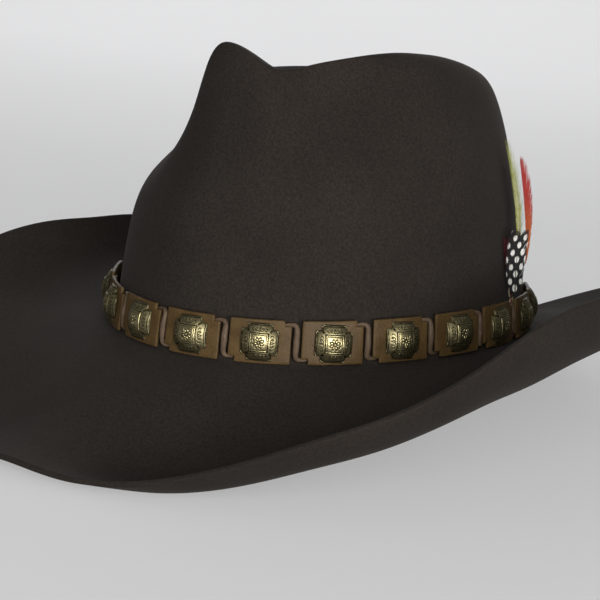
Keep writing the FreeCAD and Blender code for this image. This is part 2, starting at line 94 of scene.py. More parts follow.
# Ridge around the top of the crown: degrees, radius, height.
RIDGE_ROWS = [
    (-90, 78, 132.0), (-82, 75, 127.5), (-73, 70, 120.8), (-60, 56, 124.0), (-45, 51, 127.0),
    (-30, 48, 129.0), (-15, 47, 129.8), (0, 48, 129.2), (15, 50, 127.8), (30, 55, 124.8),
    (45, 62, 120.5), (60, 70, 116.0), (75, 76, 112.0), (90, 78, 110.0), (105, 75, 110.5),
    (120, 68, 110.8), (135, 60, 111.5), (150, 54, 111.8), (165, 50, 111.8), (180, 48, 111.6),
    (195, 48, 110.8), (210, 50, 110.0), (225, 54, 109.0), (240, 59, 109.5), (253, 70, 115.0),
    (262, 75, 126.5)]
# Crown wall: share of the height, then share of the inset at the sides, pinches and front.
WALL_HEIGHTS = [0.0, 0.024, 0.07, 0.16, 0.30, 0.45, 0.60, 0.74, 0.86, 0.94, 0.985, 1.0]
WALL_SIDE = [0.0, 0.006, 0.02, 0.06, 0.13, 0.21, 0.31, 0.43, 0.58, 0.72, 0.87, 1.0]
WALL_PINCH = [0.0, 0.006, 0.02, 0.04, 0.08, 0.13, 0.27, 0.68, 0.90, 0.96, 0.99, 1.0]
WALL_FRONT = [0.0, 0.01, 0.03, 0.06, 0.11, 0.22, 0.62, 1.0, 1.10, 1.08, 1.03, 1.0]
# Crown top: share of the ridge radius, share of the ridge height above the crease floor.
TOP_ROWS = [(0.90, 0.95), (0.80, 0.78), (0.68, 0.52), (0.52, 0.28), (0.36, 0.12),
            (0.20, 0.03), (0.08, 0.0)]
BRIM_HANDLES = (0.50, 0.38)             # curve handles at the break and edge, share of reach
BRIM_STATIONS = [0.03, 0.08, 0.18, 0.32, 0.46, 0.60, 0.72, 0.82, 0.90, 0.96, 1.0]


# ------------------------------------------------------------------ hat form
def hermite(u, start, start_slope, end, end_slope):
    return ((2 * u ** 3 - 3 * u ** 2 + 1) * start + (u ** 3 - 2 * u ** 2 + u) * start_slope
            + (-2 * u ** 3 + 3 * u ** 2) * end + (u ** 3 - u ** 2) * end_slope)


def closed_table(rows):
    """A smooth function of degrees through rows of (degrees, values...), closed on itself."""
    def turned(row, turn):
        return (row[0] + turn,) + row[1:]

    knots = [turned(rows[-1], -360), *rows, turned(rows[0], 360), turned(rows[1], 360)]

    def at(deg):
        deg = (deg - rows[0][0]) % 360.0 + rows[0][0]
        k = 1
        while k < len(rows) and knots[k + 1][0] <= deg:
            k += 1
        before, start, end, after = knots[k - 1:k + 3]
        gap = end[0] - start[0]
        u = (deg - start[0]) / gap
        values = []
        for c in range(1, len(start)):
            start_slope = (end[c] - before[c]) / (end[0] - before[0]) * gap
            end_slope = (after[c] - start[c]) / (after[0] - start[0]) * gap
            values.append(hermite(u, start[c], start_slope, end[c], end_slope))
        return values
    return at


brim_at = closed_table(BRIM_ROWS)
ridge_at = closed_table(RIDGE_ROWS)


def polar(radius, deg, z):
    angle = math.radians(deg)
    return radius * math.cos(angle), radius * math.sin(angle), z


def break_radius(deg):
    angle = math.radians(deg)
    return 1.0 / math.hypot(math.cos(angle) / HEAD_HALF_X, math.sin(angle) / HEAD_HALF_Y)


def break_z(deg):
    return BREAK_WAVE * math.cos(2 * math.radians(deg)) - BREAK_DROP


def wall_inset(deg, share):
    """How far the crown wall stands inside the break at a share of its height."""
    from_front = abs((deg + 90.0 + 180.0) % 360.0 - 180.0)
    pinch = math.exp(-((from_front - 42.0) / 24.0) ** 2)
    front = math.exp(-(from_front / 17.0) ** 2)
    side, pinched, frontal = (float(np.interp(share, WALL_HEIGHTS, shares))
                              for shares in (WALL_SIDE, WALL_PINCH, WALL_FRONT))
    inset = side * (1 - pinch) + pinch * pinched
    inset = inset * (1 - front) + front * frontal
    return (break_radius(deg) - ridge_at(deg)[0]) * inset


def wall_radius(deg, z):
    foot = break_z(deg)
    share = (z - foot) / (ridge_at(deg)[1] - foot)
    return break_radius(deg) - wall_inset(deg, max(0.0, share))


def profile(deg):
    """(radius, height) points of the outer surface, from the brim edge to the crown centre."""
    reach, edge_z, start_slope, edge_slope = brim_at(deg)
    foot_r, foot_z = break_radius(deg), break_z(deg)
    drop = edge_z - foot_z
    start_handle = BRIM_HANDLES[0] * reach
    edge_handle = BRIM_HANDLES[1] * math.hypot(reach, drop)
    start_slope, edge_slope = math.radians(start_slope), math.radians(edge_slope)
    control = [(0.0, 0.0), (start_handle, start_handle * math.tan(start_slope)),
               (reach - edge_handle * math.cos(edge_slope),
                drop - edge_handle * math.sin(edge_slope)), (reach, drop)]
    points = []
    for u in reversed(BRIM_STATIONS):
        weights = [(1 - u) ** 3, 3 * u * (1 - u) ** 2, 3 * u * u * (1 - u), u ** 3]
        points.append((foot_r + sum(w * p[0] for w, p in zip(weights, control)),
                       foot_z + sum(w * p[1] for w, p in zip(weights, control))))
    ridge_r, ridge_z = ridge_at(deg)
    for share in WALL_HEIGHTS:
        points.append((foot_r - wall_inset(deg, share), foot_z + (ridge_z - foot_z) * share))
    for radius_share, height_share in TOP_ROWS:
        points.append((ridge_r * radius_share, CREASE_Z + (ridge_z - CREASE_Z) * height_share))
    points.append((0.0, CREASE_Z))
    return points


def inner_profile(points, depth):
    """The profile moved towards the underside of the brim and the inside of the crown."""
    moved = []
    last = len(points) - 1
    for i, (radius, z) in enumerate(points[:-1]):
        before, after = points[max(i - 1, 0)], points[i + 1]
        run, rise = after[0] - before[0], after[1] - before[1]
        size = math.hypot(run, rise)
        moved.append((max(radius - rise / size * depth, 0.05 * (last - i)),
                      z + run / size * depth))
    moved.append((0.0, points[-1][1] - depth))
    return moved


def control_points(depth):
    """Control points of a felt skin, as rows from the brim edge to the crown centre."""
    columns = []
    for i in range(FORM_COLUMNS):
        deg = i * 360.0 / FORM_COLUMNS
        columns.append([polar(radius, deg, z)
                        for radius, z in inner_profile(profile(deg), depth)])
    return np.array(columns).transpose(1, 0, 2)


def surface_points(control, around, per_span):
    """Cubic B-spline surface, closed around and clamped from the edge to the centre."""
    rows, columns = control.shape[:2]
    u = np.arange(around) * columns / around
    cell = np.floor(u).astype(int)
    f = u - cell
    weights = [(1 - f) ** 3 / 6, (3 * f ** 3 - 6 * f ** 2 + 4) / 6,
               (-3 * f ** 3 + 3 * f ** 2 + 3 * f + 1) / 6, f ** 3 / 6]
    rings = sum(weights[j][None, :, None] * control[:, (cell - 1 + j) % columns]
                for j in range(4))
    spans = rows - 3
    knots = [0.0] * 3 + list(range(spans + 1)) + [float(spans)] * 3
    stations = np.linspace(0, spans, spans * per_span + 1)
    basis = np.zeros((len(stations), rows))
    for k, station in enumerate(stations):
        station = min(station, spans - 1e-9)
        span = int(station) + 3
        values = [1.0]
        for degree in range(1, 4):
            raised = [0.0] * (degree + 1)
            for i in range(degree):
                low, high = knots[span - degree + 1 + i], knots[span + 1 + i]
                share = values[i] / (high - low)
                raised[i] += (high - station) * share
                raised[i + 1] += (station - low) * share
            values = raised
        basis[k, span - 3:span + 1] = values
    return np.einsum("ar,rnk->ank", basis, rings)


# ------------------------------------------------------------------ mesh helpers
def grid_faces(rows, columns, base=0, flip=False, closed=False):
    """Quads between rows of points that close around; closed also joins the last row up."""
    faces = []
    for j in range(rows if closed else rows - 1):
        row = base + j * columns
        next_row = base + (j + 1) % rows * columns
        for i in range(columns):
            i2 = (i + 1) % columns
            a, b, c, d = row + i, row + i2, next_row + i2, next_row + i
            faces.append((a, d, c, b) if flip else (a, b, c, d))
    return faces


def fan(first, count, centre):
    return [(first + i, first + (i + 1) % count, centre) for i in range(count)]


def flipped(faces):
    return [face[::-1] for face in faces]


def new_mesh(name, verts, faces):
    mesh = bpy.data.meshes.new(name)
    mesh.from_pydata(np.asarray(verts, float).tolist(), [], faces)
    mesh.validate()
    mesh.update()
    mesh.polygons.foreach_set("use_smooth", [True] * len(mesh.polygons))
    return mesh


def new_object(name, data):
    obj = bpy.data.objects.new(name, data)
    bpy.context.scene.collection.objects.link(obj)
    return obj


def register(obj, body, node):
    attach(obj, body)
    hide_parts(node)


def add_piece(name, shape, material, body, node):
    """A finished piece from its (vertices, faces)."""
    obj = new_object(name, new_mesh(name, *shape))
    obj.data.materials.append(material)
    register(obj, body, node)
    return obj


def axes_matrix(x_axis, y_axis, z_axis, origin):
    rows = [(x_axis[i], y_axis[i], z_axis[i], origin[i]) for i in range(3)]
    return Matrix(rows + [(0, 0, 0, 1)])


# ------------------------------------------------------------------ material helpers
class Nodes:
    """Short ways to add shader nodes; an input value may be a number, colour or socket."""

    def __init__(self, tree):
        self.tree = tree

    def put(self, node, inputs):
        for key, value in inputs.items():
            if isinstance(value, bpy.types.NodeSocket):
                self.tree.links.new(value, node.inputs[key])
            else:
                node.inputs[key].default_value = value

    def add(self, kind, inputs=None, **settings):
        node = self.tree.nodes.new("ShaderNode" + kind)
        for key, value in settings.items():
            setattr(node, key, value)
        self.put(node, inputs or {})
        return node

    def noise(self, scale, detail, roughness):
        return self.add("TexNoise", {"Scale": scale, "Detail": detail, "Roughness": roughness,
                                     "Vector": self.coords}).outputs["Fac"]

    def ramp(self, factor, low_at, low, high_at, high):
        node = self.add("ValToRGB", {"Fac": factor})
        stops = ((low_at, low), (high_at, high))
        for element, (position, colour) in zip(node.color_ramp.elements, stops):
            element.position = position
            element.color = (*colour, 1)
        return node.outputs["Color"]

    def math(self, operation, first, second, clamp=False):
        return self.add("Math", {0: first, 1: second}, operation=operation,
                        use_clamp=clamp).outputs[0]

    def mix(self, factor, first, second, blend="MIX"):
        node = self.add("Mix", data_type="RGBA", blend_type=blend)
        self.put(node, {0: factor, 6: first, 7: second})
        return node.outputs[2]

    def bump(self, height, strength, distance, **normal):
        return self.add("Bump", {"Strength": strength, "Distance": distance, "Height": height,
                                 **normal}).outputs["Normal"]

    def surface(self, **inputs):
        """Principled inputs, with underscores for the spaces in their names."""
        self.put(self.tree.nodes["Principled BSDF"],
                 {key.replace("_", " "): value for key, value in inputs.items()})


def new_material(name):
    material = bpy.data.materials.new(name)
    material.use_nodes = True
    nodes = Nodes(material.node_tree)
    nodes.coords = nodes.add("TexCoord").outputs["Object"]
    return material, nodes


def grey(value):
    return (value, value, value)


# ------------------------------------------------------------------ materials
def felt_material():
    material, nodes = new_material("felt")
    grain = nodes.noise(scale=900, detail=3, roughness=0.7)
    mottle = nodes.noise(scale=28, detail=5, roughness=0.55)
    fuzz = nodes.noise(scale=2600, detail=2, roughness=0.6)
    base = nodes.ramp(mottle, low_at=0.30, low=(0.0225, 0.0182, 0.0152),
                      high_at=0.70, high=(0.0285, 0.0232, 0.0195))
    shade = nodes.ramp(grain, low_at=0.32, low=grey(0.66), high_at=0.70, high=(1.38, 1.36, 1.33))
    nodes.surface(Base_Color=nodes.mix(1.0, base, shade, "MULTIPLY"), Roughness=0.94,
                  Specular_IOR_Level=0.18, Sheen_Weight=0.08, Sheen_Roughness=0.45,
                  Sheen_Tint=(0.60, 0.55, 0.52, 1))
    height = nodes.math("ADD", nodes.math("MULTIPLY", grain, 0.7),
                        nodes.math("MULTIPLY", fuzz, 0.5))
    waves = nodes.bump(mottle, strength=0.10, distance=0.0015)
    nodes.surface(Normal=nodes.bump(height, strength=0.35, distance=0.0004, Normal=waves))
    return material


def leather_material(name, low, high, roughness, scale=1.0):
    material, nodes = new_material(name)
    mottle = nodes.noise(scale=140 * scale, detail=6, roughness=0.62)
    speckle = nodes.noise(scale=1500 * scale, detail=3, roughness=0.6)
    pebbles = nodes.add("TexVoronoi", {"Scale": 900 * scale, "Vector": nodes.coords})
    base = nodes.ramp(mottle, low_at=0.30, low=low, high_at=0.72, high=high)
    shade = nodes.ramp(speckle, low_at=0.32, low=(0.80, 0.79, 0.78), high_at=0.70,
                       high=grey(1.12))
    nodes.surface(Base_Color=nodes.mix(1.0, base, shade, "MULTIPLY"),
                  Roughness=nodes.math("ADD", nodes.math("MULTIPLY", mottle, 0.2),
                                       roughness - 0.1),
                  Specular_IOR_Level=0.18)
    height = nodes.math("ADD", nodes.math("MULTIPLY", pebbles.outputs["Distance"], 0.6),
                        nodes.math("MULTIPLY", speckle, 0.6))
    nodes.surface(Normal=nodes.bump(height, strength=0.30, distance=0.0003))
    return material


def brass_material():
    """Bright where the "relief" attribute is high, dark and rougher in the cuts; the attribute also
    holds painted shade and a painted highlight.
    """
    material, nodes = new_material("antique_brass")
    relief = nodes.add("Attribute", attribute_name="relief").outputs["Fac"]
    wear = nodes.noise(scale=500, detail=4, roughness=0.6)
    pits = nodes.noise(scale=2600, detail=2, roughness=0.5)
    bright = nodes.ramp(wear, low_at=0.3, low=(0.37, 0.315, 0.155),
                        high_at=0.7, high=(0.62, 0.545, 0.31))
    uneven = nodes.math("MULTIPLY", nodes.math("SUBTRACT", wear, 0.5), 0.45)
    shine = nodes.math("ADD", relief, uneven, clamp=True)
    nodes.surface(Base_Color=nodes.mix(shine, (0.016, 0.014, 0.008, 1), bright), Metallic=1.0,
                  Roughness=nodes.math("SUBTRACT", 0.60, nodes.math("MULTIPLY", shine, 0.26)),
                  Normal=nodes.bump(pits, strength=0.12, distance=0.0002))
    return material


def cloth_material(name, colour, roughness, sheen, weave=2200.0):
    material, nodes = new_material(name)
    mottle = nodes.noise(scale=60, detail=4, roughness=0.5)
    threads = nodes.add("TexWave", {"Scale": weave, "Distortion": 0.6, "Vector": nodes.coords},
                        bands_direction="Z")
    nodes.surface(Base_Color=nodes.ramp(mottle, low_at=0.3, low=[v * 0.8 for v in colour],
                                        high_at=0.7, high=[v * 1.15 for v in colour]),
                  Roughness=roughness, Sheen_Weight=sheen, Anisotropic=0.4,
                  Normal=nodes.bump(threads.outputs["Fac"], strength=0.15, distance=0.0002))
    return material


def feather_material():
    """Coloured by the "tint" attribute."""
    material, nodes = new_material("feather")
    tint = nodes.add("Attribute", attribute_name="tint").outputs["Color"]
    fibres = nodes.noise(scale=2400, detail=3, roughness=0.6)
    shade = nodes.ramp(fibres, low_at=0.3, low=grey(0.72), high_at=0.7, high=grey(1.2))
    nodes.surface(Base_Color=nodes.mix(1.0, tint, shade, "MULTIPLY"), Roughness=0.62,
                  Specular_IOR_Level=0.25, Sheen_Weight=0.06, Subsurface_Radius=grey(0.002),
                  Normal=nodes.bump(fibres, strength=0.2, distance=0.0002))
    return material


FELT = felt_material()
LINK_LEATHER = leather_material("link_leather", low=(0.077, 0.046, 0.0170),
                                high=(0.128, 0.079, 0.0300), roughness=0.46)
THONG = leather_material("thong", low=(0.088, 0.057, 0.036), high=(0.180, 0.127, 0.085),
                         roughness=0.45, scale=2.0)
SWEAT_LEATHER = leather_material("sweat_leather", low=(0.090, 0.045, 0.022),
                                 high=(0.150, 0.080, 0.042), roughness=0.45, scale=0.8)
BRASS = brass_material()
SATIN = cloth_material("satin", colour=(0.26, 0.20, 0.13), roughness=0.32, sheen=0.5)
RIBBON = cloth_material("ribbon", colour=(0.030, 0.022, 0.018), roughness=0.45, sheen=0.5)
THREAD = cloth_material("thread", colour=(0.40, 0.30, 0.20), roughness=0.7, sheen=0.3,
                        weave=5200.0)
REED = leather_material("reed", low=(0.35, 0.30, 0.24), high=(0.45, 0.40, 0.32), roughness=0.5)
FEATHER = feather_material()

# ------------------------------------------------------------------ felt body
# Raw edge of the brim: share of the way from outer to inner skin, bulge outwards.
EDGE_ROWS = ((0.12, 0.10), (0.35, 0.20), (0.65, 0.20), (0.88, 0.10))


def felt_shape():
    around, per_span = ((480, 7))
    outer, inner = (surface_points(control_points(depth), around, per_span) * MM
                    for depth in (0.0, FELT_THICK))
    outward = outer[0] - outer[1]
    outward /= np.linalg.norm(outward, axis=1)[:, None]
    edge = [outer[0] * (1 - f) + inner[0] * f + outward * bulge * MM for f, bulge in EDGE_ROWS]
    # The last row of each skin is a single point at the crown centre.
    verts = np.concatenate([outer[:-1].reshape(-1, 3), outer[-1, :1],
                            inner[:-1].reshape(-1, 3), inner[-1, :1], *edge])
    rows = len(outer) - 1
    skin = rows * around
    faces = grid_faces(rows, around) + fan(skin - around, around, skin)
    inside = skin + 1
    faces += grid_faces(rows, around, inside, flip=True)
    faces += flipped(fan(inside + skin - around, around, inside + skin))
    first_edge = inside + skin + 1
    loops = [0] + [first_edge + k * around for k in range(len(edge))] + [inside]
    for upper, lower in zip(loops, loops[1:]):
        for i in range(around):
            i2 = (i + 1) % around
            faces.append((upper + i2, upper + i, lower + i, lower + i2))
    return verts, faces


add_piece("felt_hat", felt_shape(), FELT, "hat", "felt_body")

# ------------------------------------------------------------------ places on the crown wall
ARC_DEGREES = np.arange(1441) * 360.0 / 1440
_break_line = np.array([polar(break_radius(deg), deg, 0.0) for deg in ARC_DEGREES])
_steps = np.linalg.norm(np.diff(_break_line, axis=0), axis=1)
ARC_LENGTHS = np.concatenate([[0.0], np.cumsum(_steps)])


def frame_at(place):
    """Point on the break, and the directions along the band, outwards and up the wall."""
    deg = float(np.interp(place % ARC_LENGTHS[-1], ARC_LENGTHS, ARC_DEGREES))
    angle = math.radians(deg)
    normal_x = math.cos(angle) / HEAD_HALF_X ** 2
    normal_y = math.sin(angle) / HEAD_HALF_Y ** 2
    size = math.hypot(normal_x, normal_y)
    normal = Vector((normal_x / size, normal_y / size, 0))
    along = Vector((-normal.y, normal.x, 0))
    up = Vector((-WALL_LEAN * normal.x, -WALL_LEAN * normal.y, 1.0)).normalized()
    return Vector(polar(break_radius(deg), deg, break_z(deg))), along, along.cross(up), up


def wall_point(place, out_by, rise):
    origin, _, out, up = frame_at(place)
    return origin + out * out_by + up * rise


LINK_PLACES = [EIGHTH_LINK_AT + LINK_PITCH * (i - 7) for i in range(LINK_COUNT)]

# ------------------------------------------------------------------ leather links
NOTCH_WIDTH, NOTCH_HEIGHT = 3.0, 2.5
CORNER_RADIUS, OUTLINE_STEP = 0.55, 1.2
BREAK_PER_WIDTH = 0.972         # arc along the break for each unit across a link
# Loops from back to front: inset from the outline, distance in front of the link's back.
LINK_LOOPS = ((0.35, 0), (0.0, 0.22), (0.0, LINK_THICK - 0.38), (0.12, LINK_THICK - 0.12),
              (0.38, LINK_THICK), (1.2, LINK_THICK + 0.05), (3.2, LINK_THICK + 0.08),
              (6.0, LINK_THICK + 0.05))


def link_outline(rand):
    """Rectangle notched at two opposite corners, rounded and cut slightly unevenly."""
    right, top = LINK_WIDTH / 2, LINK_HEIGHT
    left, inner_left, inner_right = -right, -right + NOTCH_WIDTH, right - NOTCH_WIDTH
    corners = np.array([(left, NOTCH_HEIGHT), (inner_left, NOTCH_HEIGHT), (inner_left, 0),
                        (right, 0), (right, top - NOTCH_HEIGHT),
                        (inner_right, top - NOTCH_HEIGHT), (inner_right, top), (left, top)])

    def short_of(corner, other):
        return corner + (other - corner) / np.linalg.norm(other - corner) * CORNER_RADIUS

    points = []
    for i, corner in enumerate(corners):
        after = corners[(i + 1) % len(corners)]
        start, end = short_of(corner, corners[i - 1]), short_of(corner, after)
        for f in (0, 0.35, 0.65, 1.0):
            points.append((1 - f) ** 2 * start + 2 * f * (1 - f) * corner + f * f * end)
        side = short_of(after, corner) - end
        steps = max(1, int(np.linalg.norm(side) / OUTLINE_STEP))
        points += [end + side * k / steps for k in range(1, steps)]
    return np.array([p + (rand.uniform(-0.05, 0.05), rand.uniform(-0.05, 0.05))
                     for p in points])


def link_shape(place, seed):
    """Cut leather bent to the crown, with eased edges and a slightly full face."""
    outline = link_outline(random.Random(seed))
    count = len(outline)
    centre = np.array([0.0, LINK_HEIGHT / 2])
    spread = outline - centre
    loops = [(centre + spread * 0.3, 0)]
    for inset, depth in LINK_LOOPS:
        pulled = np.sign(spread) * np.minimum(inset, np.abs(spread) * 0.8)
        loops.append((outline - pulled, depth))
    verts = [tuple(wall_point(place + x * BREAK_PER_WIDTH, LINK_OUT + depth, LINK_FOOT + z) * MM)
             for loop, depth in loops for x, z in loop]
    for depth in (LINK_THICK + 0.05, 0):
        verts.append(tuple(wall_point(place, LINK_OUT + depth, LINK_FOOT + centre[1]) * MM))
    front = len(verts) - 2
    faces = grid_faces(len(loops), count) + fan(front - count, count, front)
    return verts, faces + flipped(fan(0, count, front + 1))


for i, place in enumerate(LINK_PLACES):
    add_piece(f"leather_link_{i + 1:02d}", link_shape(place, 100 + i), LINK_LEATHER,
              "hatband", f"link_{i + 1:02d}")

# ------------------------------------------------------------------ conchos
CONCHO_HALF, CONCHO_NOTCH, CONCHO_REACH = 8.25, 2.65, 9.55
CONCHO_DOME_RADIUS, CONCHO_DOME_TOP = 13.2, 3.75
PLATE_HALF = 4.0                # raised square in the middle
CONCHO_AROUND, CONCHO_RINGS = 288, 76
# Lines engraved on each arm: (across the arm, out from the centre).
ARM_LEAF = [(0, 4.9), (-0.42, 5.6), (0, 6.7), (0.42, 5.6), (0, 4.9)]
ARM_SCROLL = [(-0.45, 5.2), (-1.15, 5.05), (-1.85, 5.5), (-1.95, 6.15), (-1.45, 6.45),
              (-1.1, 6.05), (-1.4, 5.75)]
ARM_HOOK = [(-2.5, 5.0), (-3.2, 5.3), (-3.35, 6.0), (-2.8, 6.3)]


def smoothstep(low, high, value):
    t = np.clip((value - low) / (high - low), 0, 1)
    return t * t * (3 - 2 * t)


def line_distance(x, z, points):
    """Distance of every (x, z) to a polyline."""
    best = np.full_like(x, 99.0)
    for (x0, z0), (x1, z1) in zip(points[:-1], points[1:]):
        run, rise = x1 - x0, z1 - z0
        t = np.clip(((x - x0) * run + (z - z0) * rise) / (run * run + rise * rise), 0, 1)
        best = np.minimum(best, np.hypot(x - x0 - t * run, z - z0 - t * rise))
    return best


def concho_mesh():
    """Domed disc with four square arms, an eight-petal flower on a square, and scrolls."""
    angles = np.arange(CONCHO_AROUND) * 2 * np.pi / CONCHO_AROUND
    cosines, sines = np.abs(np.cos(angles)), np.abs(np.sin(angles))

    def box(half_x, half_z):
        return np.minimum(half_x / np.maximum(cosines, 1e-9), half_z / np.maximum(sines, 1e-9))

    arm = CONCHO_HALF - CONCHO_NOTCH
    outline = np.maximum(box(CONCHO_HALF, arm), box(arm, CONCHO_HALF))
    outline = np.minimum(np.maximum(outline, CONCHO_HALF - 0.15), CONCHO_REACH)
    shares = np.concatenate([np.linspace(0, 0.93, CONCHO_RINGS - 9), np.linspace(0.94, 1.0, 9)])
    x = shares[:, None] * (outline * np.cos(angles))[None]
    z = shares[:, None] * (outline * np.sin(angles))[None]
    radius = np.hypot(x, z)
    dome = (np.sqrt(np.maximum(CONCHO_DOME_RADIUS ** 2 - radius * radius, 0))
            - (CONCHO_DOME_RADIUS - CONCHO_DOME_TOP))
    abs_x, abs_z = np.abs(x), np.abs(z)
    square = np.maximum(abs_x, abs_z)
    relief, dark = np.zeros_like(x), np.zeros_like(x)

    def cut(distance, width, depth):
        groove = np.exp(-(distance / width) ** 2)
        relief[...] -= depth * groove
        np.maximum(dark, groove, out=dark)

    # raised square with a groove around it and a line inside its border
    plate = 1 - smoothstep(PLATE_HALF - 0.12, PLATE_HALF + 0.12, square)
    relief += 0.30 * plate
    cut(np.abs(square - PLATE_HALF - 0.16) + 9.0 * (square < PLATE_HALF), width=0.17, depth=0.10)
    cut(np.abs(square - (PLATE_HALF - 0.62)), width=0.13, depth=0.14)
    # petals, then the bead in the middle
    petal = np.full_like(x, 9.0)
    for k in range(8):
        turn = k * np.pi / 4 + np.pi / 8
        along = x * np.cos(turn) + z * np.sin(turn)
        across = -x * np.sin(turn) + z * np.cos(turn)
        oval = (np.hypot((along - 1.62) / 0.92, across / 0.56) - 1) * 0.7
        petal = np.minimum(petal, oval)
    cut(np.abs(petal), width=0.13, depth=0.16)
    relief += 0.12 * (1 - smoothstep(-0.5, 0.0, petal)) * plate
    relief += 0.20 * (1 - smoothstep(0.42, 0.62, radius))
    cut(np.abs(radius - 0.62), width=0.10, depth=0.10)
    # the arms' leaf, scrolls and hooks, kept off the square
    arm_x = np.where(abs_x > abs_z, z, x)
    off_plate = np.where(square > PLATE_HALF + 0.25, 0.0, 9.0)
    mirrored = [[(-a, b) for a, b in line] for line in (ARM_SCROLL, ARM_HOOK)]
    for line in (ARM_LEAF, ARM_SCROLL, mirrored[0], ARM_HOOK, mirrored[1]):
        cut(line_distance(arm_x, square, line) + off_plate, width=0.13, depth=0.15)
    # a pair of nicks by each inner corner, and a line inside the rim
    for line in ([(4.9, 4.5), (5.35, 5.3)], [(4.5, 4.9), (5.3, 5.35)]):
        cut(line_distance(abs_x, abs_z, line), width=0.20, depth=0.12)
    to_rim = (1 - shares[:, None]) * outline[None]
    cut(np.abs(to_rim - 0.75), width=0.14, depth=0.10)

    height = np.maximum(dome, 0.42) + relief - 0.40 * np.exp(-(to_rim / 0.22) ** 2)
    # painted shade: the brass is darkened towards the dome's sides, where its curve turns them from
    # the light
    painted_side_shade = 0.80 - 0.30 * smoothstep(4.5, 8.6, radius)
    # painted highlight: the raised square is made lighter; the darker cuts and rim edge are patina
    shine = painted_side_shade + 0.26 * plate - 0.95 * dark - 0.45 * np.exp(-(to_rim / 0.25) ** 2)
    shine = np.clip(shine, 0, 1)
    face = np.stack([x, height, z], -1)
    verts = np.concatenate([face[1:].reshape(-1, 3), face[-1] * (1, 0, 1),
                            [face[0, 0], (0, 0, 0)]]) * MM
    top = CONCHO_RINGS * CONCHO_AROUND
    faces = (grid_faces(CONCHO_RINGS, CONCHO_AROUND, flip=True)
             + flipped(fan(0, CONCHO_AROUND, top))
             + fan(top - CONCHO_AROUND, CONCHO_AROUND, top + 1))
    mesh = new_mesh("concho", verts, faces)
    values = np.concatenate([shine[1:].ravel(), np.full(CONCHO_AROUND, 0.25),
                             [shine[0, 0], 0.2]])
    attribute = mesh.attributes.new("relief", "FLOAT", "POINT")
    attribute.data.foreach_set("value", values.astype(np.float32))
    mesh.materials.append(BRASS)
    return mesh


CONCHO = concho_mesh()
for i, place in enumerate(LINK_PLACES):
    obj = new_object(f"antique_concho_{i + 1:02d}", CONCHO)
    rand = random.Random(300 + i)
    turn = Matrix.Rotation(math.radians(rand.uniform(-2.2, 2.2)), 4, "Y")
    place = place + 0.3 + rand.uniform(-0.35, 0.35)
    rise = LINK_FOOT + LINK_HEIGHT / 2 + rand.uniform(-0.3, 0.3)
    centre = wall_point(place, LINK_OUT + LINK_THICK + 0.05, rise) * MM
    obj.matrix_world = axes_matrix(*frame_at(place)[1:], centre) @ turn
    register(obj, "hatband", f"concho_{i + 1:02d}")


